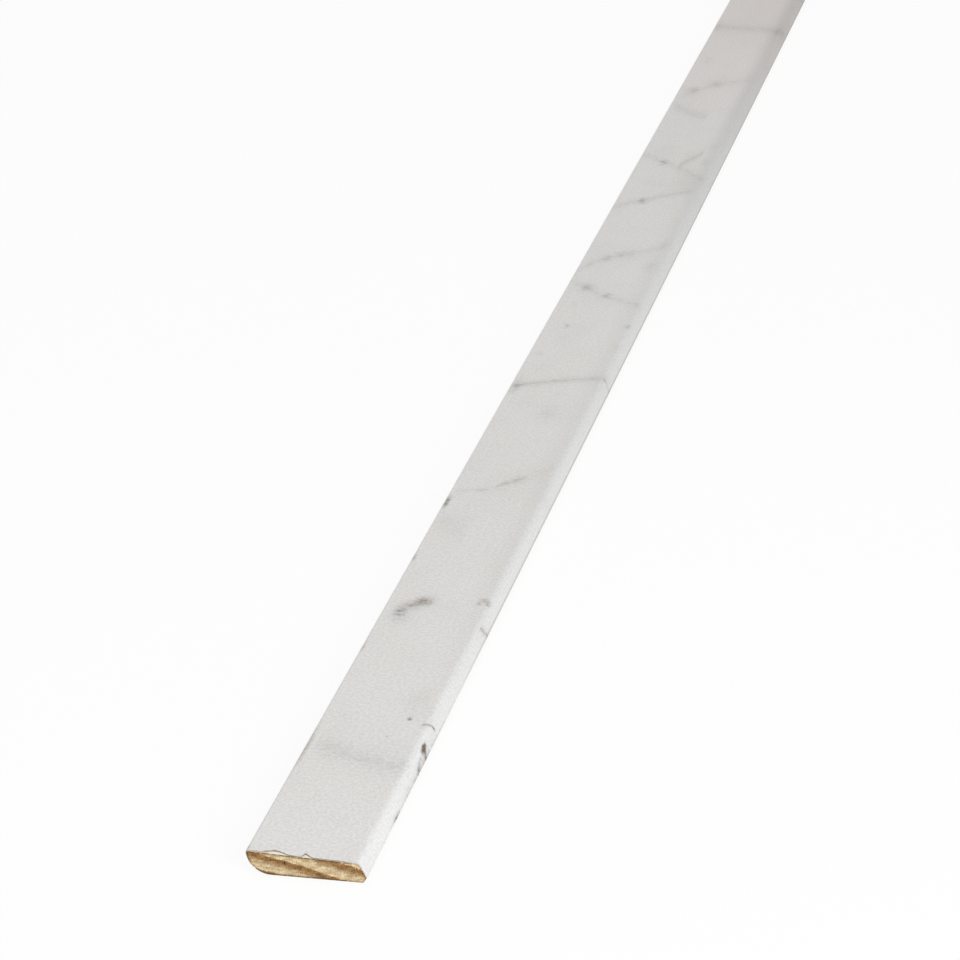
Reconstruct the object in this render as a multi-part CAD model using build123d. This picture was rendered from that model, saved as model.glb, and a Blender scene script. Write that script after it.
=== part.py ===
from build123d import *
from math import radians, tan
import os

# A length of skirting board: a softwood core wrapped in a thin printed film, lying on its back.
# X runs across the board from the foot edge, which stands on the floor once it is fitted, to the head edge.
# Y runs along the board, and Z points up out of its face. The origin is the middle of the back.

# Driving dimensions, in millimetres and degrees.
board_length = 2400.0

# Softwood core
core_width = 39.4  # foot corner to the arris, the widest line of the head edge
core_foot_thickness = 7.7  # at the foot corner
core_head_thickness = 6.5  # where the face would meet the sloping head edge
foot_round_width = 8.2  # how far the rounded foot reaches under the board
foot_corner_radius = 0.5
head_slope = 27.0  # lean of the head edge from upright
head_round_radius = 2.7
arris_height = 1.7  # of the widest line above the back
arris_depth = 1.1  # how far the bevel below that line runs in under the board

# Printed film
film_thickness = 0.3
film_foot_edge = 3.0  # height above the back at which the film stops on the rounded foot
film_head_edge = 1.9  # height above the back at which the film stops on the head edge

# Chips out of the film's near end: distance from the foot corner, width along the edge and depth
film_chips = [(10.2, 5.6, 1.8), (20.4, 2.6, 1.1)]


def fillet_corner(section, corner, radius):
    """The section with the corner at this point rounded."""
    return fillet(section.vertices().sort_by_distance(corner)[0], radius)


def core_section():
    """Rounded foot, face that tapers to the head, sloping head edge, bevel and flat back."""
    head_setback = (core_head_thickness - arris_height) * tan(radians(head_slope))
    back_start = (foot_round_width, 0)
    foot_corner = (0, core_foot_thickness)
    head_corner = (core_width - head_setback, core_head_thickness)
    arris = (core_width, arris_height)
    back_end = (core_width - arris_depth, 0)
    rounded_foot = TangentArc(back_start, foot_corner, tangent=(-1, 0))
    straight_sides = Polyline(foot_corner, head_corner, arris, back_end, back_start)
    section = make_face(rounded_foot + straight_sides)
    section = fillet_corner(section, head_corner, head_round_radius)
    return fillet_corner(section, foot_corner, foot_corner_radius)


def film_section(core):
    """Even band on the outside of the core, from the rounded foot over the face to the head edge."""
    band = offset(core, film_thickness) - core
    middle = core_width / 2
    past_foot = middle - core_width
    past_head = middle + core_width
    above_face = core_width
    covered = make_face(
        Polyline(
            (past_foot, film_foot_edge),
            (middle, film_foot_edge),
            (middle, film_head_edge),
            (past_head, film_head_edge),
            (past_head, above_face),
            (past_foot, above_face),
            close=True,
        )
    )
    return band & covered


def chip_cutter(from_foot, width, depth):
    """Tall round cutter whose rim bites this wide and this deep into the near end."""
    radius = (width**2 / 4 + depth**2) / (2 * depth)
    centre = depth - board_length / 2 - radius
    return Pos(from_foot, centre, 0) * Cylinder(radius, core_width)


def along_board(section):
    """The section drawn out to the board's length, half of it each way."""
    return extrude(Plane.XZ * section, board_length / 2, both=True)


core_outline = core_section()
film_outline = film_section(core_outline)
softwood_core = along_board(core_outline)
decor_film = along_board(film_outline)
for chip in film_chips:
    decor_film -= chip_cutter(*chip)

to_middle = Pos(-(core_outline + film_outline).bounding_box().center().X, 0, 0)
os.makedirs("parts", exist_ok=True)
export_step(to_middle * softwood_core, "parts/softwood_core.step")
export_step(to_middle * decor_film, "parts/decor_film.step")
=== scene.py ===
import math

import bpy
import numpy as np
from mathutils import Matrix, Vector, noise


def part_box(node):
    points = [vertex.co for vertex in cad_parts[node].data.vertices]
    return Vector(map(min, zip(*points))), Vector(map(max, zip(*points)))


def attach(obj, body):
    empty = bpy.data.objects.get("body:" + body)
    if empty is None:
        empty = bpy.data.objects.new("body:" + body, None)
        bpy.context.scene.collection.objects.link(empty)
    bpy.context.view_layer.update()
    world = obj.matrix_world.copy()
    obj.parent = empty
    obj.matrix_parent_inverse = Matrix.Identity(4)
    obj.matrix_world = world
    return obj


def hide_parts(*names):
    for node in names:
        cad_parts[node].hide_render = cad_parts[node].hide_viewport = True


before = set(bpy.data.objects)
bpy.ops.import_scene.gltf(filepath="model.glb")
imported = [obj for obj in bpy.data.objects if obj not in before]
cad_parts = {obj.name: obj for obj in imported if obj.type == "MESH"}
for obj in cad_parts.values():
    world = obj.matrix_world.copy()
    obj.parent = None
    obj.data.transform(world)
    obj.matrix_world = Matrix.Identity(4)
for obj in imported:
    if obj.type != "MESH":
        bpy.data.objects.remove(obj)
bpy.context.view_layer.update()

# A length of skirting board, softwood wrapped in a marble-print film, lying on a pale floor.
# Sizes are in millimetres, as in the part's source, and become metres when a mesh is made.
MM = 0.001

# Section: x from the foot corner to the head edge, z up from the back
CORE_WIDTH = 39.4
CORE_FOOT_THICKNESS = 7.7
CORE_HEAD_THICKNESS = 6.5
FOOT_ROUND_WIDTH = 8.2
FOOT_CORNER_RADIUS = 0.5
HEAD_SLOPE = 27.0
HEAD_ROUND_RADIUS = 2.7
ARRIS_HEIGHT = 1.7
ARRIS_DEPTH = 1.1
FILM_THICKNESS = 0.3
FILM_FOOT_EDGE = 3.0
FILM_HEAD_EDGE = 1.9

# Mesh steps
ARC_STEP = 0.12  # along a round stretch of the section
FACE_STEP = 0.3  # across the flat face
END_STEP = 0.25  # along the board, at its ends
END_ZONE = 6.0  # how far the fine steps and the film's ragged edge reach in from an end
CORE_COLUMNS = 170  # across the sawn end
CORE_ROWS = 34  # up the sawn end
FILM_SHARP_ANGLE = 40  # edges sharper than this aren't smoothed
CORE_SHARP_ANGLE = 35

# Maps: each piece's length is cut into strips, which lie side by side on its map
MAP_GAP = 0.004  # round a strip
MAP_WIDTH = (0.004, 0.996)
MAP_HALVES = ((0.004, 0.49), (0.51, 0.996))  # for the near and the far end
FILM_STRIPS = 7
FILM_STRIP_STEPS = 4
FILM_PRINT_HEIGHT = 0.92  # of the strips of the printed side together
FILM_BACK_BAND = (0.925, 0.965)
FILM_END_BAND = (0.97, 0.978)
FILM_SIDE_BANDS = ((0.982, 0.988), (0.99, 0.996))
CORE_STRIPS = 6
CORE_STRIP_STEPS = 3
CORE_SIDES_HEIGHT = 0.86
CORE_END_BAND = (0.875, 0.985)

# The film's near edge: across the film from the start of its face, how far it is set back behind
# the sawn end, and how far its lip is lifted
NEAR_EDGE = [
    (-6.0, 0.25, 0.0),
    (-1.6, 0.25, 0.0),
    (-0.6, 0.6, 0.05),
    (2.5, 0.5, 0.05),
    (4.4, 0.6, 0.08),
    (6.3, 1.2, 0.15),
    (8.4, 2.0, 0.2),
    (10.1, 1.7, 0.2),
    (11.8, 0.9, 0.12),
    (12.7, 0.35, 0.05),
    (14.0, 0.15, 0.0),
    (15.8, 0.05, 0.0),
    (17.2, 0.2, 0.0),
    (17.9, 0.5, 0.1),
    (18.4, 2.5, 0.2),
    (19.3, 1.6, 0.15),
    (20.2, 0.8, 0.1),
    (21.2, 0.15, 0.0),
    (28.5, 0.15, 0.0),
    (42.0, 0.15, 0.0),
]
EDGE_ROUGHNESS = 0.12  # of the film's cut ends

# Growth rings: the pith lies below the board, at x from its middle and z from its back
PITH = (-70.8, -293.5)
RING_EDGE = 305.6  # radius at which one ring ends
RING_PITCH = 5.35
RESIN_CANAL = (-7.1, 4.5)  # a dark dot on the sawn end
RESIN_CANAL_RADIUS = (0.42, 0.7)  # across and up
WORN_STRIP_END = -12.5  # x up to which the base under the film is worn brown
# Wood tones: pale and deep early wood, pale and deep late wood
SAWN_TONES = ((241, 223, 186), (183, 153, 106), (178, 136, 79), (102, 66, 31))
PLANED_TONES = ((238, 218, 178), (220, 193, 148), (210, 170, 116), (184, 138, 86))

# Marble print, across from the start of the face and along from the near end.
# Veins: start, end, bow, width, grey and brown
VEINS = [
    ((3, 85), (36, 73), -2, 5.5, 0.17, 0.0),
    ((39, 86), (41.8, 79), 0, 0.8, 0.5, 0.0),
    ((37.6, 95.5), (41.8, 92), 0, 0.9, 0.6, 0.8),
    ((34, 108), (39.4, 112), -0.4, 0.6, 0.04, 0.65),
    ((37, 198), (42, 201), 0, 1.2, 0.03, 0.55),
    ((1, 300), (14, 281), 0, 5.0, 0.06, 0.0),
    ((1, 327), (14, 335), 0, 3.0, 0.08, 0.0),
    ((9, 330), (14, 334), 0, 1.0, 0.15, 0.0),
    ((16, 338), (25.5, 350), 0, 1.1, 0.22, 0.02),
    ((13, 333), (35, 364), 0, 4.0, 0.08, 0.0),
    ((0, 453), (37, 475), 3.0, 2.2, 0.22, 0.05),
    ((36, 475), (42, 471), 0, 1.6, 0.14, 0.0),
    ((1, 601), (36, 575), -4.0, 2.6, 0.13, 0.0),
    ((0, 619), (21, 650), 5.0, 2.8, 0.15, 0.0),
    ((20, 648), (33, 663), 0, 2.8, 0.06, 0.08),
    ((0, 719), (33, 756), 2.0, 2.6, 0.11, 0.07),
    ((0, 811), (35, 776), 3.0, 3.0, 0.13, 0.0),
    ((20, 797), (29, 823), 0, 1.6, 0.02, 0.22),
    ((1, 908), (21, 889), -4.0, 4.0, 0.16, 0.0),
    ((4, 934), (34, 969), 2.0, 4.0, 0.1, 0.0),
    ((0, 1074), (40, 1076), 0, 6.5, 0.15, 0.03),
]
# Spots: middle, radius across and along, grey and brown
SPOTS = [
    ((-0.7, 1.5), (0.6, 1.8), 0.5, 0.4),
    ((41.4, 45), (0.6, 4), 1.0, 0.0),
    ((0, 81), (0.8, 14), 0.05, 0.4),
    # Painted shade, not a mark: a long soft grey along the head edge's lower rim near the near end
    ((41.8, 82), (1.6, 36), 0.25, 0.0),
    ((38.6, 94), (0.8, 2.4), 4.0, 0.8),
    ((24.5, 96), (0.5, 0.5), 0.3, 0.1),
    ((38.6, 111), (1.0, 1.0), 0.15, 0.6),
    ((29, 112.5), (0.7, 1.1), 0.4, 0.7),
    ((28, 130), (4, 7), 0.0, 0.07),
    ((0, 169), (0.6, 4), 0.2, 0.15),
    ((7, 201), (4, 8), 0.2, 0.0),
    ((5.6, 204), (2.0, 3.6), 0.5, 0.0),
    ((9, 211), (3.2, 3.4), 0.33, 0.3),
    ((12.5, 215.5), (2.8, 3.0), 0.28, 0.65),
    ((32.3, 218.5), (1.0, 1.6), 0.05, 0.4),
    ((33.7, 222), (1.6, 1.8), 0.03, 0.45),
    ((35.6, 219.5), (1.0, 2.2), 0.03, 0.45),
    ((0, 257), (0.7, 4), 0.3, 0.2),
    ((0.4, 316), (0.9, 5), 0.65, 0.35),
    ((21, 424), (5, 9), 0.12, 0.0),
    ((9.5, 436), (5, 8), 0.06, 0.0),
    ((2, 455), (2.0, 7), 0.24, 0.0),
    ((3.5, 498), (1.6, 3), 0.13, 0.0),
    ((34.5, 515), (1.5, 5), 0.08, 0.0),
    ((9, 538), (1.2, 3), 0.28, 0.0),
    ((35, 545), (1.2, 2.4), 0.2, 0.08),
    ((7, 568), (1.5, 3), 0.08, 0.0),
    ((19, 585), (2.2, 4.4), 0.25, 0.0),
    ((8.5, 594), (2.3, 4.8), 0.25, 0.0),
    ((31, 633), (3, 8), 0.0, 0.12),
    ((10, 639), (2.0, 4), 0.18, 0.0),
    ((16, 645), (2.4, 4), 0.2, 0.0),
    ((33.5, 666), (2, 6), 0.0, 0.12),
    ((12.3, 733), (1.8, 4.4), 0.4, 0.05),
    ((28, 770), (7, 18), 0.03, 0.09),
    ((12, 801), (1.9, 5), 0.38, 0.0),
    ((32, 806), (2, 6), 0.0, 0.14),
    ((32, 836), (2, 7), 0.0, 0.1),
    ((7.3, 938), (2.8, 7), 0.2, 0.0),
    ((17.3, 953), (2.8, 6), 0.18, 0.0),
    ((6, 1000), (2.4, 7), 0.1, 0.0),
    ((34.5, 1070), (1.0, 6), 0.12, 0.0),
    ((1, 1073), (2, 9), 0.12, 0.0),
    ((26, 1120), (24, 70), 0.02, 0.03),
]
SEEN_LENGTH = 1150.0  # of the marks placed one by one; past it the veins come from noise alone
SEEN_FADE = 250.0  # stretch over which what is seen only up to there fades out

# Painted shade by the head edge, laid on the print: ranges across and along over which each sets in, and
# its strength
HEAD_RIM, RIM_START, RIM_GREY = (40.7, 41.3), (130, 220), (0.04, 0.26)
TURN_RISE, TURN_FALL, TURN_START, TURN_GREY = (25, 36), (36, 39), (100, 250), 0.06
HEAD_SHADE_RISE, HEAD_SHADE_START, HEAD_SHADE_GREY = (29, 36), (480, 1100), 0.15
HEAD_WHITE = (33, 37)  # across, over which the white turns neutral
RED_START, RED_SHARE = 800, 0.9  # along, from which the white turns redder, and how much

# Camera and light
CAMERA_PLACE = (0.2791, -2.3359, 0.5773)
CAMERA_HEADING = 11.093  # to the left of the board's length
CAMERA_PITCH = 20.708  # below the horizon
CAMERA_LENS = 152.56
# Lamps: place, target, size and power
LAMPS = {
    "key": ((0.85, -1.95, 0.5), (0.0, -1.15, 0.0), 0.7, 10.5),
    "overhead": ((-0.3, -0.6, 1.6), (0.0, -0.6, 0.0), 1.6, 7.6),
}
SKY_STRENGTH = 0.5
FLOOR_SIZE = 80.0
FLOOR_WHITE = 0.9  # share of plain white that the camera sees in the floor; the rest takes shadows
FLOOR_FADE = (1.0, 4.0)  # distances over which that share rises to the whole


# The section as lines of points


def arc_points(centre, radius, start, turn):
    """Points on an arc, from the angle start through the angle turn."""
    count = math.ceil(abs(turn) * radius / ARC_STEP)
    angles = start + turn * np.linspace(0, 1, count + 1)
    return np.c_[centre[0] + radius * np.cos(angles), centre[1] + radius * np.sin(angles)]


def rounded(before, corner, after, radius):
    """Arc that rounds the corner between the points before and after it."""
    to_before = (before - corner) / np.linalg.norm(before - corner)
    to_after = (after - corner) / np.linalg.norm(after - corner)
    half = math.acos(to_before @ to_after) / 2
    inward = (to_before + to_after) / np.linalg.norm(to_before + to_after)
    centre = corner + inward * radius / math.sin(half)
    first = corner + to_before * radius / math.tan(half) - centre
    return arc_points(centre, radius, math.atan2(first[1], first[0]), 2 * half - math.pi)


def core_line():
    """The core's outline, from the start of its back round the foot, face and head to the back's end."""
    foot_radius = (FOOT_ROUND_WIDTH**2 + CORE_FOOT_THICKNESS**2) / (2 * CORE_FOOT_THICKNESS)
    foot_centre = (FOOT_ROUND_WIDTH, foot_radius)
    head_setback = (CORE_HEAD_THICKNESS - ARRIS_HEIGHT) * math.tan(math.radians(HEAD_SLOPE))
    foot_corner = np.array([0.0, CORE_FOOT_THICKNESS])
    head_corner = np.array([CORE_WIDTH - head_setback, CORE_HEAD_THICKNESS])
    arris = np.array([CORE_WIDTH, ARRIS_HEIGHT])
    back_end = np.array([CORE_WIDTH - ARRIS_DEPTH, 0.0])
    down = -math.pi / 2
    corner_angle = math.atan2(CORE_FOOT_THICKNESS - foot_radius, -FOOT_ROUND_WIDTH)
    foot = arc_points(foot_centre, foot_radius, down, corner_angle - down)
    foot = foot[np.linalg.norm(foot - foot_corner, axis=1) > FOOT_CORNER_RADIUS]
    foot_round = rounded(foot[-1], foot_corner, head_corner, FOOT_CORNER_RADIUS)
    head_round = rounded(foot_corner, head_corner, arris, HEAD_ROUND_RADIUS)
    return np.vstack([foot, foot_round, head_round, arris, back_end])


def distances(line):
    """How far along the line each of its points lies."""
    return np.r_[0, np.cumsum(np.linalg.norm(np.diff(line, axis=0), axis=1))]


def points_at(line, where):
    """Points of the line at these distances along it."""
    run = distances(line)
    return np.c_[np.interp(where, run, line[:, 0]), np.interp(where, run, line[:, 1])]


def film_lines(core):
    """The film's inner and outer line, from its foot edge to its head edge."""
    run = distances(core)
    top = np.argmax(core[:, 1])
    arris = len(core) - 2
    start = np.interp(FILM_FOOT_EDGE, core[:top, 1], run[:top])
    end = np.interp(-FILM_HEAD_EDGE, -core[top : arris + 1, 1], run[top : arris + 1])
    where = np.r_[start, run, np.arange(start, end, FACE_STEP), end]
    where = np.unique(where[(where >= start) & (where <= end)])
    where = where[np.r_[True, np.diff(where) > ARC_STEP / 4]]
    inner = points_at(core, where)
    ahead = points_at(core, where + ARC_STEP / 2) - points_at(core, where - ARC_STEP / 2)
    ahead /= np.linalg.norm(ahead, axis=1)[:, None]
    outer = inner + FILM_THICKNESS * np.c_[-ahead[:, 1], ahead[:, 0]]
    outer[0] += ahead[0] * (FILM_FOOT_EDGE - outer[0, 1]) / ahead[0, 1]
    outer[-1] += ahead[-1] * (FILM_HEAD_EDGE - outer[-1, 1]) / ahead[-1, 1]
    return inner, outer


core_low, core_high = (Vector(corner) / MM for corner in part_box("softwood_core"))
near_end, far_end = core_low.y, core_high.y
board_length = far_end - near_end
core_outline = core_line()
core_outline[:, 0] += core_low.x - core_outline[:, 0].min()
film_inner, film_outer = film_lines(core_outline)
film_across = distances(film_outer)
film_across -= film_across[np.argmax(film_outer[:, 1])]


# Meshes


class Surface:
    """Collects vertices in millimetres, faces and map corners, and makes an object of them."""

    def __init__(self):
        self.vertices = []
        self.faces = []
        self.corners = []
        self.slots = []

    def add_vertices(self, places):
        """Adds an array of places and gives back their numbers in the same layout."""
        first = len(self.vertices)
        self.vertices.extend(places.reshape(-1, 3))
        return first + np.arange(places.size // 3).reshape(places.shape[:-1])

    def add_grid(self, numbers, u, v, slot):
        """Faces over a grid of vertex numbers, mapped to u by rows and to v by columns."""
        at = np.stack(np.meshgrid(u, v, indexing="ij"), axis=-1)
        quads = [(slice(None, -1), slice(None, -1)), (slice(None, -1), slice(1, None))]
        quads += [(slice(1, None), slice(1, None)), (slice(1, None), slice(None, -1))]
        for face, corners in zip(
            np.stack([numbers[q] for q in quads], axis=-1).reshape(-1, 4).tolist(),
            np.stack([at[q] for q in quads], axis=-2).reshape(-1, 4, 2).tolist(),
        ):
            kept = [k for k in range(4) if face[k] not in face[:k]]
            if len(kept) > 2:
                self.faces.append([face[k] for k in kept])
                self.corners.extend(corners[k] for k in kept)
                self.slots.append(slot)

    def make(self, name, materials, sharp_angle):
        """The object, smooth but for edges sharper than this angle."""
        mesh = bpy.data.meshes.new(name)
        mesh.from_pydata(np.array(self.vertices) * MM, [], self.faces)
        for material in materials:
            mesh.materials.append(material)
        mesh.polygons.foreach_set("material_index", self.slots)
        mesh.shade_smooth()
        mesh.set_sharp_from_angle(angle=math.radians(sharp_angle))
        layer = mesh.uv_layers.new(name="OFBake")
        layer.uv.foreach_set("vector", np.array(self.corners, np.float32).ravel())
        piece = bpy.data.objects.new(name, mesh)
        bpy.context.scene.collection.objects.link(piece)
        return piece


def set_attribute(piece, name, kind, values):
    """Stores one value or vector for each vertex, for the materials to read."""
    attribute = piece.data.attributes.new(name, kind, "POINT")
    key = "vector" if kind == "FLOAT_VECTOR" else "value"
    attribute.data.foreach_set(key, np.asarray(values, np.float32).ravel())


def share(values, low, high):
    """Values spread evenly by size from low to high."""
    values = np.asarray(values, float)
    return low + (high - low) * (values - values.min()) / np.ptp(values)


def stations(count):
    """Distances from the near end: this many even steps, with fine steps at both ends."""
    fine = np.arange(0, END_ZONE + END_STEP / 2, END_STEP)
    even = np.linspace(0, board_length, count + 1)
    return np.unique(np.r_[fine, even, board_length - fine].round(6))


def rough(*place):
    """Smooth noise from -1 to 1 at a place."""
    return noise.noise(Vector(place))


def film_edges():
    """How far the film's near edge is set back, its lip's lift, and how far its far edge is set back."""
    across, setback, lift = np.array(NEAR_EDGE).T
    fine = [rough(a / 0.7, 0.0, 3.0) + 0.6 * rough(a / 0.25, 0.0, 9.0) for a in film_across]
    far = [rough(a / 0.9, 5.0, 3.0) + 0.6 * rough(a / 0.3, 5.0, 9.0) for a in film_across]
    near = np.interp(film_across, across, setback) + EDGE_ROUGHNESS * np.array(fine)
    return near, np.interp(film_across, across, lift), EDGE_ROUGHNESS * np.array(far)


def film_piece(materials):
    """The printed film with its ragged near edge, as a thin closed shell."""
    setback, lift, far_setback = film_edges()
    along = stations(FILM_STRIPS * FILM_STRIP_STEPS)
    to_near = np.clip(1 - along / END_ZONE, 0, 1)[:, None]
    to_far = np.clip(1 - (board_length - along) / END_ZONE, 0, 1)[:, None]
    y = near_end + along[:, None] + to_near * setback - to_far * np.abs(far_setback)
    out = film_outer - film_inner
    raised = (to_near**3 * lift / FILM_THICKNESS)[:, :, None] * out

    surface = Surface()
    skins = []
    for line in (film_outer, film_inner):
        section = line + raised
        skins.append(np.stack([section[:, :, 0], y, section[:, :, 1]], axis=-1))
    outer, inner = (surface.add_vertices(skin) for skin in skins)
    pitch = FILM_PRINT_HEIGHT / FILM_STRIPS
    for strip in range(FILM_STRIPS):
        low, high = strip * board_length / FILM_STRIPS, (strip + 1) * board_length / FILM_STRIPS
        part = (along >= low - END_STEP / 4) & (along <= high + END_STEP / 4)
        v = share(film_across, strip * pitch + MAP_GAP, (strip + 1) * pitch - MAP_GAP)
        surface.add_grid(outer[part], share(along[part], *MAP_WIDTH), v, 0)
    whole = share(along, *MAP_WIDTH)
    surface.add_grid(inner[:, ::-1], whole, share(film_across, *FILM_BACK_BAND), 1)

    # Rims, which join the two skins at the ends and along the sides
    for k in (0, 1):
        end_rim = np.stack([outer[-k], inner[-k]][:: 1 - 2 * k], axis=1)
        surface.add_grid(end_rim, share(film_across, *MAP_HALVES[k]), FILM_END_BAND, 1)
    for k in (0, 1):
        side_rim = np.stack([inner[:, -k], outer[:, -k]][:: 1 - 2 * k], axis=1)
        surface.add_grid(side_rim, whole, FILM_SIDE_BANDS[k], 1)
    piece = surface.make("decor_film_print", materials, FILM_SHARP_ANGLE)
    print_place = np.stack(np.broadcast_arrays(film_across, y - near_end, 0.0), axis=-1)
    set_attribute(piece, "print_place", "FLOAT_VECTOR", np.stack([print_place, print_place]))
    return piece


def core_chains():
    """Columns across the core, with the height of its lower and upper side at each."""
    left = np.argmin(core_outline[:, 0])
    upper = core_outline[left:-1]
    lower = np.vstack([core_outline[left::-1], core_outline[-1], core_outline[-2]])
    turn = np.linspace(0, math.pi, CORE_COLUMNS)
    columns = share(-np.cos(turn), upper[0, 0], upper[-1, 0])
    return columns, np.interp(columns, *lower.T), np.interp(columns, *upper.T)


def sawn_depth(x, z, seed):
    """How deep the saw tore the end at a place: early wood more than late wood, with tooth marks."""
    radius = math.hypot(x - PITH[0], z - PITH[1])
    early = 1 - (radius - RING_EDGE) / RING_PITCH % 1
    tooth = math.sin(5.0 * (x + 0.35 * z) + 2.0 * rough(x / 4, z / 4, seed))
    torn = rough(x / 0.9, z / 0.9, seed) + 0.7 * rough(x / 0.35, z / 0.35, seed + 5)
    return max(0.0, 0.06 + 0.06 * early + 0.05 * torn + 0.015 * tooth)


def core_piece(materials):
    """The softwood core, with sawn relief on both ends."""
    columns, low, high = core_chains()
    inside = slice(1, -1)
    loop = np.vstack(
        [
            np.c_[columns, high],
            np.c_[columns[inside], low[inside]][::-1],
            [[columns[0], high[0]]],
        ]
    )
    run = distances(loop)
    along = np.linspace(0, board_length, CORE_STRIPS * CORE_STRIP_STEPS + 1)
    surface = Surface()
    places = np.empty((len(along), len(loop) - 1, 3))
    places[:, :, 0] = loop[:-1, 0]
    places[:, :, 1] = (near_end + along)[:, None]
    places[:, :, 2] = loop[:-1, 1]
    numbers = surface.add_vertices(places)
    numbers = np.c_[numbers, numbers[:, :1]]

    # The film covers the loop from its foot edge to its head edge; the rest is bare, planed wood
    count = len(columns)
    head_edge = np.argmax((loop[:, 1] < FILM_HEAD_EDGE) & (np.arange(len(loop)) > count / 2))
    lower_side = np.arange(len(loop)) > count
    foot_edge = np.argmax(lower_side & (loop[:, 0] < 0) & (loop[:, 1] > FILM_FOOT_EDGE))
    parts = ((0, head_edge, 2), (head_edge, foot_edge, 1), (foot_edge, len(loop) - 1, 2))
    pitch = CORE_SIDES_HEIGHT / CORE_STRIPS
    heights = share(run, MAP_GAP, pitch - MAP_GAP)
    for strip in range(CORE_STRIPS):
        rows = slice(strip * CORE_STRIP_STEPS, (strip + 1) * CORE_STRIP_STEPS + 1)
        u = share(along[rows], *MAP_WIDTH)
        for first, last, slot in parts:
            around = slice(first, last + 1)
            surface.add_grid(numbers[rows, around], u, strip * pitch + heights[around], slot)

    # Sawn ends: a grid of columns and rows, whose rim is the end of the loop
    rise = np.linspace(0, 1, CORE_ROWS + 1)
    x = np.repeat(columns[inside, None], CORE_ROWS - 1, axis=1)
    z = low[inside, None] + (high - low)[inside, None] * rise[None, inside]
    for end, inward, seed in ((0, 1.0, 1.0), (-1, -1.0, 20.0)):
        depth = np.vectorize(sawn_depth)(x, z, seed)
        y = places[end, 0, 1] + inward * depth
        grid = np.empty((count, CORE_ROWS + 1), int)
        grid[inside, inside] = surface.add_vertices(np.stack([x, y, z], axis=-1))
        grid[:, -1] = numbers[end, :count]
        grid[inside, 0] = numbers[end, count:-1][::-1]
        grid[0], grid[-1] = numbers[end, 0], numbers[end, count - 1]
        u, v = share(columns, *MAP_HALVES[end]), share(rise, *CORE_END_BAND)
        surface.add_grid(grid[::-1] if end == 0 else grid, u, v, 0)
    piece = surface.make("softwood_core_sawn", materials, CORE_SHARP_ANGLE)
    section = np.array(surface.vertices)[:, ::2]
    dense = points_at(loop, np.arange(0, run[-1], FACE_STEP))
    rim = [np.linalg.norm(dense - point, axis=1).min() for point in section]
    set_attribute(piece, "from_rim", "FLOAT", rim)
    return piece


# Materials


def colour(red, green, blue):
    """A colour given as it looks on a screen, from 0 to 255, in linear light."""
    values = np.array([red, green, blue]) / 255
    linear = np.where(values <= 0.04045, values / 12.92, ((values + 0.055) / 1.055) ** 2.4)
    return (*linear.tolist(), 1.0)


class Nodes:
    """Adds nodes to a tree. Numbers and colours are set on sockets, and outputs are linked to them."""

    def __init__(self, tree):
        self.tree = tree

    def feed(self, socket, value):
        if isinstance(value, bpy.types.NodeSocket):
            self.tree.links.new(value, socket)
        else:
            socket.default_value = value

    def add(self, kind, inputs=(), **settings):
        node = self.tree.nodes.new(kind)
        for name, value in settings.items():
            setattr(node, name, value)
        for key, value in dict(inputs).items():
            self.feed(node.inputs[key], value)
        return node

    def math(self, operation, *values, clamp=False):
        inputs = enumerate(values)
        return self.add("ShaderNodeMath", inputs, operation=operation, use_clamp=clamp).outputs[0]

    def vector(self, operation, *values):
        return self.add("ShaderNodeVectorMath", enumerate(values), operation=operation).outputs[0]

    def noise(self, place, sizes, detail=2.0, roughness=0.5):
        """Noise from 0 to 1 whose features are about these sizes along the place's axes."""
        scaled = self.vector("DIVIDE", place, sizes)
        inputs = {"Vector": scaled, "Scale": 1.0, "Detail": detail, "Roughness": roughness}
        return self.add("ShaderNodeTexNoise", inputs).outputs[0]

    def remap(self, value, low, high, to_low=0.0, to_high=1.0):
        """The value's range from low to high, eased at both ends, as another range."""
        inputs = enumerate((value, low, high, to_low, to_high))
        return self.add("ShaderNodeMapRange", inputs, interpolation_type="SMOOTHSTEP").outputs[0]

    def blend(self, amount, first, second):
        node = self.add("ShaderNodeMix", data_type="RGBA")
        for key, value in ((0, amount), (6, first), (7, second)):
            self.feed(node.inputs[key], value)
        return node.outputs[2]

    def bump(self, height, depth, strength=1.0):
        inputs = {"Height": height, "Distance": depth * MM, "Strength": strength}
        return self.add("ShaderNodeBump", inputs).outputs[0]


def new_material(name):
    """An empty material, its nodes and its shader."""
    material = bpy.data.materials.new(name)
    material.use_nodes = True
    nodes = Nodes(material.node_tree)
    shader = material.node_tree.nodes["Principled BSDF"]
    return material, nodes, shader


def new_group(name, inputs):
    """An empty node group with these inputs, its nodes, its input sockets and its output socket."""
    group = bpy.data.node_groups.new(name, "ShaderNodeTree")
    for label in inputs:
        group.interface.new_socket(label, in_out="INPUT", socket_type="NodeSocketFloat")
    group.interface.new_socket("Shown", in_out="OUTPUT", socket_type="NodeSocketFloat")
    nodes = Nodes(group)
    given = nodes.add("NodeGroupInput").outputs
    return group, nodes, given, nodes.add("NodeGroupOutput").inputs[0]


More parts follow.
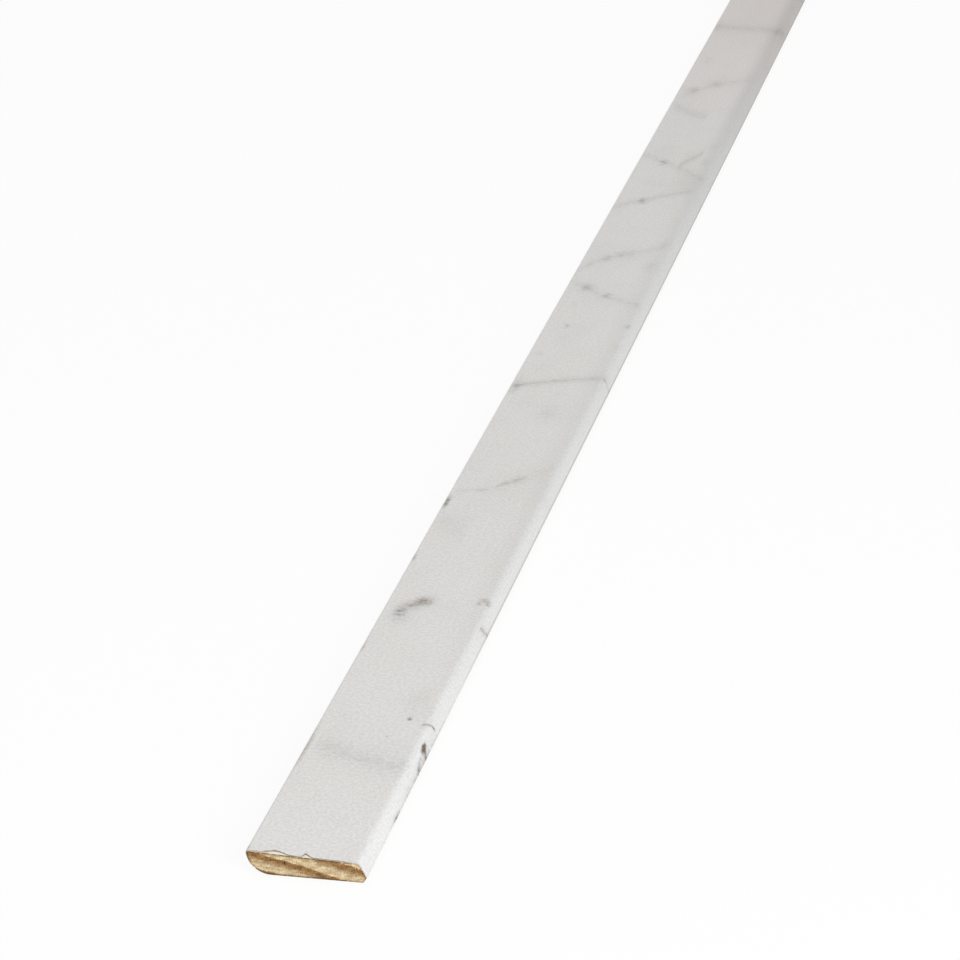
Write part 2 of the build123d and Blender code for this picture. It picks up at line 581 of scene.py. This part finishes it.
def vein_group():
    """How strongly a vein shows: a bowed line with soft sides that fades out at its ends."""
    inputs = ("Across", "Along", "Start across", "End across", "Start along", "Rise", "Bow", "Width")
    group, nodes, given, output = new_group("vein", inputs)
    span = nodes.add("ShaderNodeMapRange", {0: given["Across"], 1: given["Start across"]}, clamp=False)
    nodes.feed(span.inputs[2], given["End across"])
    gone = span.outputs[0]
    left = nodes.math("SUBTRACT", 1.0, gone)
    line = nodes.math("MULTIPLY_ADD", gone, given["Rise"], given["Start along"])
    arch = nodes.math("MULTIPLY", nodes.math("MULTIPLY", gone, left), 4.0)
    line = nodes.math("MULTIPLY_ADD", arch, given["Bow"], line)
    off = nodes.math("DIVIDE", nodes.math("SUBTRACT", given["Along"], line), given["Width"])
    shown = nodes.math("DIVIDE", 1.0, nodes.math("MULTIPLY_ADD", off, off, 1.0))
    ends = nodes.math("MULTIPLY", nodes.remap(gone, -0.08, 0.08), nodes.remap(left, -0.08, 0.08))
    nodes.feed(output, nodes.math("MULTIPLY", shown, ends))
    return group


def spot_group():
    """How strongly a soft spot shows."""
    inputs = ("Across", "Along", "Middle across", "Middle along", "Radius across", "Radius along")
    group, nodes, given, output = new_group("spot", inputs)
    squares = []
    for axis in ("across", "along"):
        off = nodes.math("SUBTRACT", given[axis.capitalize()], given[f"Middle {axis}"])
        off = nodes.math("DIVIDE", off, given[f"Radius {axis}"])
        squares.append(nodes.math("MULTIPLY", off, off))
    square = nodes.math("ADD", *squares)
    nodes.feed(output, nodes.math("EXPONENT", nodes.math("MULTIPLY", square, -1.0)))
    return group


vein_shape = vein_group()
spot_shape = spot_group()


def placed_marks(nodes, across, along):
    """Total grey and brown of the veins and spots that are placed one by one."""
    totals = {"grey": 0.0, "brown": 0.0}

    def lay(group, inputs, grey, brown):
        given = {"Across": across, "Along": along, **inputs}
        shown = nodes.add("ShaderNodeGroup", node_tree=group)
        for key, value in given.items():
            nodes.feed(shown.inputs[key], value)
        for tone, strength in (("grey", grey), ("brown", brown)):
            if strength:
                totals[tone] = nodes.math("MULTIPLY_ADD", shown.outputs[0], strength, totals[tone])

    for start, end, bow, width, grey, brown in VEINS:
        rise = end[1] - start[1]
        lean = math.hypot(1, rise / (end[0] - start[0]))
        inputs = {"Start across": start[0], "End across": end[0], "Start along": start[1]}
        lay(vein_shape, {**inputs, "Rise": rise, "Bow": bow, "Width": width * lean}, grey, brown)
    for middle, radius, grey, brown in SPOTS:
        inputs = {"Middle across": middle[0], "Middle along": middle[1]}
        lay(spot_shape, {**inputs, "Radius across": radius[0], "Radius along": radius[1]}, grey, brown)
    return totals["grey"], totals["brown"]


def marble_print():
    """White marble print: faint clouds, grey and brown veins and flecks, a fine satin texture, and painted
    shade along the head edge and in the texture's hollows.
    """
    material, nodes, shader = new_material("marble_print")
    place = nodes.add("ShaderNodeAttribute", attribute_name="print_place").outputs["Vector"]
    across, along, _ = nodes.add("ShaderNodeSeparateXYZ", {0: place}).outputs

    # Veins wander a little, both widely and finely
    wide = nodes.noise(place, (11, 9, 1), 1.0)
    fine = nodes.noise(place, (2.2, 1.6, 1), 2.0)
    wander = nodes.math("MULTIPLY_ADD", nodes.math("SUBTRACT", wide, 0.5), 5.0, along)
    wander = nodes.math("MULTIPLY_ADD", nodes.math("SUBTRACT", fine, 0.5), 2.0, wander)
    grey, brown = placed_marks(nodes, across, wander)

    # Past the seen length, veins where a stretched noise crosses its middle
    course = nodes.noise(place, (60, 70, 1), 3.0, 0.55)
    near_line = nodes.math("ABSOLUTE", nodes.math("SUBTRACT", course, 0.5))
    thread = nodes.remap(near_line, 0.0, 0.018, 1.0, 0.0)
    patch = nodes.remap(nodes.noise(place, (26, 20, 1), 2.0), 0.42, 0.7)
    unseen = nodes.remap(along, SEEN_LENGTH - 30, SEEN_LENGTH + 40, 0.0, 0.3)
    thread = nodes.math("MULTIPLY", nodes.math("MULTIPLY", thread, patch), unseen)
    broken = nodes.remap(nodes.noise(place, (3.0, 2.4, 1), 3.0, 0.65), 0.3, 0.7, 0.32, 1.28)
    grey = nodes.math("MULTIPLY", nodes.math("ADD", grey, thread), broken)

    # Painted shade along the head edge: a shadow line on its rim, the band where the face turns into it,
    # and its further stretch
    rim = nodes.remap(along, *RIM_START, *RIM_GREY)
    rim = nodes.math("MULTIPLY", nodes.remap(across, *HEAD_RIM), rim)
    turn = nodes.math("MULTIPLY", nodes.remap(across, *TURN_RISE), nodes.remap(across, *TURN_FALL, 1, 0))
    turn = nodes.math("MULTIPLY", turn, nodes.remap(along, *TURN_START, 0.0, TURN_GREY))
    seen = nodes.remap(along, SEEN_LENGTH, SEEN_LENGTH + SEEN_FADE, 1.0, 0.0)
    head_shade = nodes.math("MULTIPLY", nodes.remap(along, *HEAD_SHADE_START, 0.0, HEAD_SHADE_GREY), seen)
    head_shade = nodes.math("MULTIPLY_ADD", nodes.remap(across, *HEAD_SHADE_RISE), head_shade, turn)
    grey = nodes.math("ADD", grey, nodes.math("MAXIMUM", rim, head_shade), clamp=True)
    speck = nodes.remap(nodes.noise(place, (1.3, 0.9, 1), 2.0, 0.6), 0.35, 0.65, 0.4, 1.3)
    brown = nodes.math("MULTIPLY", nodes.math("MULTIPLY_ADD", thread, 0.25, brown), speck, clamp=True)

    cool, warm, rosy = colour(229, 228, 226), colour(229, 227, 224), colour(228, 221, 218)
    base = nodes.blend(nodes.remap(nodes.noise(place, (34, 60, 1), 2.0), 0.35, 0.65), cool, warm)
    base = nodes.blend(nodes.remap(across, *HEAD_WHITE), base, colour(231, 231, 231))
    reddened = nodes.math("MULTIPLY", nodes.remap(along, RED_START, SEEN_LENGTH, 0.0, RED_SHARE), seen)
    base = nodes.blend(reddened, base, rosy)
    clouds = nodes.remap(nodes.noise(place, (22, 38, 1), 4.0, 0.55), 0.48, 0.8, 0.0, 0.1)
    base = nodes.blend(clouds, base, colour(150, 150, 148))
    # Satin texture: a bump and roughness, and painted shade that darkens its hollows in the colour
    peel = nodes.noise(place, (1.2, 1.4, 1), 3.0, 0.6)
    base = nodes.blend(nodes.remap(peel, 0.35, 0.65, 0.23, 0.0), base, colour(160, 158, 152))
    base = nodes.blend(grey, base, colour(60, 58, 55))
    nodes.feed(shader.inputs["Base Color"], nodes.blend(brown, base, colour(108, 84, 46)))

    nodes.feed(shader.inputs["Roughness"], nodes.remap(peel, 0.3, 0.7, 0.5, 0.62))
    nodes.feed(shader.inputs["Normal"], nodes.bump(peel, 0.2))
    return material


def film_edge():
    """The film's cut edge and underside: pale paper, browner in patches and over a band across its width
    that takes in the chips.
    """
    material, nodes, shader = new_material("film_edge")
    place = nodes.add("ShaderNodeAttribute", attribute_name="print_place").outputs["Vector"]
    across = nodes.add("ShaderNodeSeparateXYZ", {0: place}).outputs[0]
    # Browner over a band across the width and in patches
    brown_band = nodes.math("MULTIPLY", nodes.remap(across, 4, 6), nodes.remap(across, 30, 36, 1, 0))
    patch = nodes.noise(place, (1.6, 4.0, 1), 3.0, 0.6)
    brown_patches = nodes.remap(patch, 0.35, 0.7, 0.0, 0.4)
    brown_patches = nodes.math("MULTIPLY_ADD", brown_band, 0.5, brown_patches, clamp=True)
    fibres = nodes.noise(place, (0.5, 0.5, 1), 2.0)
    paper = nodes.blend(fibres, colour(234, 229, 226), colour(214, 206, 202))
    nodes.feed(shader.inputs["Base Color"], nodes.blend(brown_patches, paper, colour(92, 74, 50)))
    shader.inputs["Roughness"].default_value = 0.75
    nodes.feed(shader.inputs["Normal"], nodes.bump(patch, 0.05))
    return material


def glue_base():
    """The core's glued faces, seen only in the film's chips: creamy white with fibres and brown patches."""
    material, nodes, shader = new_material("glue_base")
    place = nodes.vector("DIVIDE", nodes.add("ShaderNodeTexCoord").outputs["Object"], (MM, MM, MM))
    across = nodes.add("ShaderNodeSeparateXYZ", {0: place}).outputs[0]
    brown_band = nodes.remap(across, WORN_STRIP_END - 1, WORN_STRIP_END + 1, 1.0, 0.1)
    patch = nodes.remap(nodes.noise(place, (1.8, 2.5, 1.8), 3.0, 0.6), 0.3, 0.65, 0.15, 0.65)
    patch = nodes.math("MULTIPLY", patch, brown_band)
    fibres = nodes.noise(place, (0.4, 5.0, 0.4), 3.0, 0.6)
    base = nodes.blend(fibres, colour(253, 247, 239), colour(238, 225, 213))
    nodes.feed(shader.inputs["Base Color"], nodes.blend(patch, base, colour(178, 146, 108)))
    shader.inputs["Roughness"].default_value = 0.7
    nodes.feed(shader.inputs["Normal"], nodes.bump(fibres, 0.05))
    return material


def softwood(name, sawn):
    """Softwood as a solid pattern: growth rings round the pith, along the board, with fine fibres."""
    material, nodes, shader = new_material(name)
    place = nodes.vector("DIVIDE", nodes.add("ShaderNodeTexCoord").outputs["Object"], (MM, MM, MM))
    axes = nodes.add("ShaderNodeSeparateXYZ", {0: place}).outputs
    right = nodes.math("SUBTRACT", axes[0], PITH[0])
    up = nodes.math("SUBTRACT", axes[2], PITH[1])
    squares = nodes.math("MULTIPLY_ADD", right, right, nodes.math("MULTIPLY", up, up))
    radius = nodes.math("SQRT", squares)
    turn = nodes.math("MULTIPLY", nodes.math("ARCTAN2", right, up), RING_EDGE)
    polar = nodes.add("ShaderNodeCombineXYZ", {0: turn, 1: axes[1], 2: radius}).outputs[0]

    # Rings waver, and their late wood ends sharply on the outside
    sway = nodes.math("SUBTRACT", nodes.noise(place, (7, 160, 7), 2.0), 0.5)
    jag = nodes.math("SUBTRACT", nodes.noise(polar, (0.7, 30, 1.8), 3.0, 0.65), 0.5)
    radius = nodes.math("MULTIPLY_ADD", sway, 1.0, radius)
    radius = nodes.math("MULTIPLY_ADD", jag, 1.5, radius)
    rings = nodes.math("DIVIDE", nodes.math("SUBTRACT", radius, RING_EDGE), RING_PITCH)
    age = nodes.math("FRACT", nodes.math("ADD", rings, 50.0))
    late = nodes.math("MULTIPLY", nodes.remap(age, 0.28, 0.75), nodes.remap(age, 0.94, 1.0, 1, 0))

    # Rays run outwards from the pith, fibres along the board, and the wood is mottled
    rays = nodes.noise(polar, (0.35, 60, 0.9), 4.0, 0.75)
    mottle = nodes.noise(place, (3.2, 25, 0.9), 3.0, 0.65)
    rays = nodes.remap(nodes.math("ADD", rays, mottle), 0.78, 1.22)
    tones = [colour(*tone) for tone in (SAWN_TONES if sawn else PLANED_TONES)]
    early_wood = nodes.blend(rays, tones[0], tones[1])
    late_wood = nodes.blend(rays, tones[2], tones[3])
    wood = nodes.blend(late, early_wood, late_wood)
    pores = nodes.noise(place, (0.2, 25, 0.2), 2.0, 0.7)
    pores = nodes.remap(pores, 0.55, 0.75, 0.0, 0.4 if sawn else 0.2)
    wood = nodes.blend(pores, wood, colour(112, 80, 46))
    if sawn:
        # The sawn end turns darker brown towards its rim, in patches, weaker by the head edge
        rim = nodes.add("ShaderNodeAttribute", attribute_name="from_rim").outputs["Fac"]
        brown_patches = nodes.noise(place, (1.4, 9, 1.4), 2.0)
        brown_patches = nodes.remap(brown_patches, 0.3, 0.55, 0.2, 1.0)
        brown_patches = nodes.math("MULTIPLY", brown_patches, nodes.remap(axes[0], 12, 18, 1.0, 0.3))
        rim_darkening = nodes.math("MULTIPLY", nodes.remap(rim, 0.1, 0.8, 1.0, 0.0), brown_patches)
        wood = nodes.blend(rim_darkening, wood, colour(104, 78, 44))
        canal = nodes.add("ShaderNodeGroup", node_tree=spot_shape)
        given = (axes[0], axes[2], *RESIN_CANAL, *RESIN_CANAL_RADIUS)
        for socket, value in zip(canal.inputs, given):
            nodes.feed(socket, value)
        wood = nodes.blend(canal.outputs[0], wood, colour(72, 42, 18))
    nodes.feed(shader.inputs["Base Color"], wood)
    shader.inputs["Roughness"].default_value = 0.85 if sawn else 0.6
    height = nodes.math("MULTIPLY_ADD", late, 0.5, rays)
    nodes.feed(shader.inputs["Normal"], nodes.bump(height, 0.1 if sawn else 0.03))
    return material


# Stage: floor, light and camera


def seen_by_eye(nodes):
    """1 for rays from the camera, or that reach a surface by a mirror or through glass."""
    path = nodes.add("ShaderNodeLightPath").outputs
    either = nodes.math("MAXIMUM", path["Is Camera Ray"], path["Is Glossy Ray"])
    return nodes.math("MAXIMUM", either, path["Is Transmission Ray"])


def pale_floor():
    """A wide floor that looks white and still takes the board's shadow."""
    half = FLOOR_SIZE / 2
    mesh = bpy.data.meshes.new("floor")
    corners = [(-half, -half, 0), (half, -half, 0), (half, half, 0), (-half, half, 0)]
    mesh.from_pydata(corners, [], [(0, 1, 2, 3)])
    floor = bpy.data.objects.new("floor", mesh)
    bpy.context.scene.collection.objects.link(floor)
    material, nodes, shader = new_material("pale_floor")
    shader.inputs["Base Color"].default_value = (0.96, 0.96, 0.96, 1)
    shader.inputs["Roughness"].default_value = 1.0
    shader.inputs["Specular IOR Level"].default_value = 0.0
    white = nodes.add("ShaderNodeEmission", {"Color": (1, 1, 1, 1), "Strength": 1.0})
    mix = nodes.add("ShaderNodeMixShader")
    place = nodes.add("ShaderNodeTexCoord").outputs["Object"]
    away = nodes.add("ShaderNodeVectorMath", {0: place}, operation="LENGTH").outputs["Value"]
    share_of_white = nodes.remap(away, *FLOOR_FADE, FLOOR_WHITE, 1.0)
    nodes.feed(mix.inputs[0], nodes.math("MULTIPLY", seen_by_eye(nodes), share_of_white))
    nodes.feed(mix.inputs[1], shader.outputs[0])
    nodes.feed(mix.inputs[2], white.outputs[0])
    output = material.node_tree.nodes["Material Output"]
    nodes.feed(output.inputs["Surface"], mix.outputs[0])
    mesh.materials.append(material)


def soft_light():
    """An even sky, a lamp to the right of the near end and a larger one overhead."""
    world = bpy.data.worlds.new("sky")
    world.use_nodes = True
    nodes = Nodes(world.node_tree)
    sky = world.node_tree.nodes["Background"]
    sky.inputs["Color"].default_value = (1, 1, 1, 1)
    sky.inputs["Strength"].default_value = SKY_STRENGTH
    white = nodes.add("ShaderNodeBackground", {"Color": (1, 1, 1, 1), "Strength": 1.0})
    mix = nodes.add("ShaderNodeMixShader", {0: seen_by_eye(nodes)})
    nodes.feed(mix.inputs[1], sky.outputs[0])
    nodes.feed(mix.inputs[2], white.outputs[0])
    nodes.feed(world.node_tree.nodes["World Output"].inputs["Surface"], mix.outputs[0])
    bpy.context.scene.world = world

    for name, (place, target, size, power) in LAMPS.items():
        lamp = bpy.data.lights.new(name, "AREA")
        lamp.shape = "SQUARE"
        lamp.size = size
        lamp.energy = power
        light = bpy.data.objects.new(name, lamp)
        light.location = place
        light.rotation_euler = (Vector(target) - Vector(place)).to_track_quat("-Z", "Y").to_euler()
        bpy.context.scene.collection.objects.link(light)


def camera():
    """The photograph's viewing angle."""
    data = bpy.data.cameras.new("camera")
    data.lens = CAMERA_LENS
    data.clip_end = 200
    eye = bpy.data.objects.new("camera", data)
    eye.location = CAMERA_PLACE
    eye.rotation_euler = (math.radians(90 - CAMERA_PITCH), 0, math.radians(CAMERA_HEADING))
    bpy.context.scene.collection.objects.link(eye)
    bpy.context.scene.camera = eye


film = film_piece([marble_print(), film_edge()])
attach(film, "root")
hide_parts("decor_film")

core = core_piece([softwood("sawn_softwood", True), softwood("planed_softwood", False), glue_base()])
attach(core, "root")
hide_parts("softwood_core")

pale_floor()
soft_light()
camera()
bpy.context.scene.view_settings.view_transform = "Standard"
